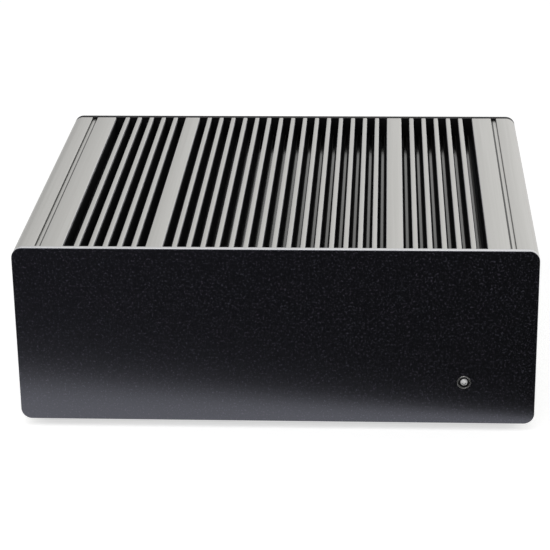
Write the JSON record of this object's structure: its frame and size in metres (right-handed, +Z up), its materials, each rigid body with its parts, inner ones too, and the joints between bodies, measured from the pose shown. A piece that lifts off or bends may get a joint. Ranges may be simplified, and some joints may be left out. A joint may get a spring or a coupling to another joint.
{
  "type": "fanless industrial pc",
  "caption": "Sealed fanless computer: finned aluminium cover over a board tray, black front with one status lamp, rear connectors.",
  "frame": {"origin": "on the surface the feet stand on, under the middle of the case", "axes": "+X to the right seen from the front, +Y from the front towards the rear connectors, +Z up"},
  "size_m": [0.24, 0.2056, 0.09],
  "materials": {
    "silver_anodised": "satin",
    "black_anodised": "satin",
    "black_fascia": "satin",
    "nickel_ring": "satin",
    "lamp_resin": "gloss",
    "black_oxide_screw": "satin",
    "zinc_screw": "satin",
    "rubber": "matte",
    "brass": "satin",
    "circuit_board": "satin",
    "black_moulding": "matte",
    "chip_epoxy": "matte",
    "milled_aluminium": "satin",
    "thermal_pad": "matte",
    "tinned_steel": "satin",
    "green_moulding": "satin",
    "cell_steel": "polished",
    "capacitor_can": "satin",
    "lead_sleeve": "matte"
  },
  "bodies": {
    "root": {"heatsink_cover": "silver_anodised", "front_plate": "silver_anodised", "front_plate_screws": "zinc_screw", "front_fascia": "black_fascia", "led_bezel": "nickel_ring", "led_nut": "nickel_ring", "status_led": "lamp_resin", "lamp_sleeve": "lead_sleeve", "lamp_lead": "lead_sleeve", "lamp_plug": "black_moulding", "lamp_header": "black_moulding", "rear_plate": "black_anodised", "rear_plate_screws": "black_oxide_screw", "io_shield": "tinned_steel", "base_plate": "black_anodised", "base_screws": "black_oxide_screw", "rubber_feet": "rubber", "foot_screws": "zinc_screw", "standoffs": "brass", "mainboard": "circuit_board", "mainboard_screws": "zinc_screw", "cpu_package": "chip_epoxy", "cpu_pad": "thermal_pad", "heat_riser": "milled_aluminium", "roof_pad": "thermal_pad", "riser_screws": "zinc_screw", "back_plate": "tinned_steel", "memory_socket": "black_moulding", "memory_module": "circuit_board", "ssd_socket": "black_moulding", "ssd_module": "circuit_board", "ssd_post": "brass", "ssd_screw": "zinc_screw", "cell_holder": "black_moulding", "coin_cell": "cell_steel", "inductors": "chip_epoxy", "capacitors": "capacitor_can", "interface_chips": "chip_epoxy", "lan_usb_port_1": "tinned_steel", "lan_usb_port_2": "tinned_steel", "hdmi_port": "tinned_steel", "display_port": "tinned_steel", "serial_port": "tinned_steel", "serial_jackscrews": "zinc_screw", "audio_jacks": "black_moulding", "dc_jack": "black_moulding", "switch_terminal": "green_moulding"}
  },
  "joints": []
}
